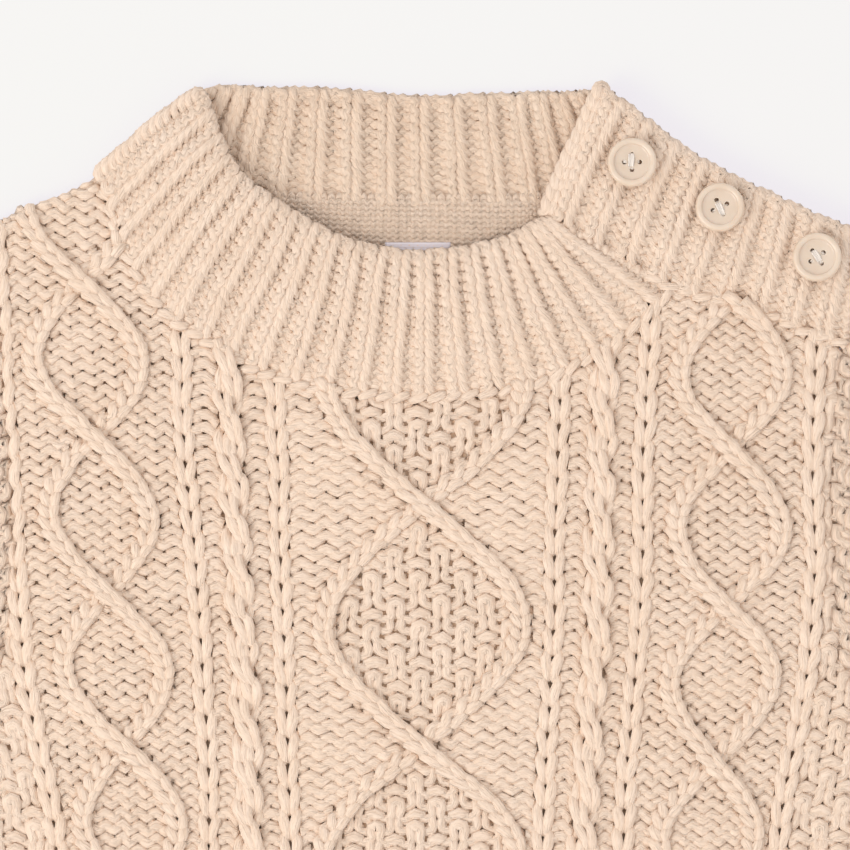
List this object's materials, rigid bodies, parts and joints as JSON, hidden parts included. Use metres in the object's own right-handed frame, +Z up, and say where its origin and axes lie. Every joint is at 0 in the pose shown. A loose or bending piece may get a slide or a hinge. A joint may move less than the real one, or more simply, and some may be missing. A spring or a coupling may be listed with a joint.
{
  "type": "cable knit pullover with buttoned shoulder",
  "caption": "Toddler's chunky cotton cable knit pullover laid flat, with a ribbed funnel neck and a button fastening along one shoulder.",
  "frame": {"origin": "on the surface the garment lies on, under the middle of its outline", "axes": "+Z up from the surface, +Y from hem to neck, +X to the buttoned shoulder"},
  "size_m": [0.619, 0.3514, 0.0132],
  "materials": {
    "cotton_knit": "matte oatmeal cotton yarn",
    "button_resin": "satin cast resin",
    "label_tape": "plain woven tape"
  },
  "bodies": {
    "root": {"back_panel": "cotton_knit", "front_panel": "cotton_knit", "hem_rib_back": "cotton_knit", "hem_rib_front": "cotton_knit", "sleeve_left": "cotton_knit", "cuff_left": "cotton_knit", "sleeve_right": "cotton_knit", "cuff_right": "cotton_knit", "collar": "cotton_knit", "shoulder_band_back": "cotton_knit", "shoulder_band_front": "cotton_knit", "button_1": "button_resin", "button_2": "button_resin", "button_3": "button_resin", "neck_label": "label_tape"}
  },
  "joints": []
}
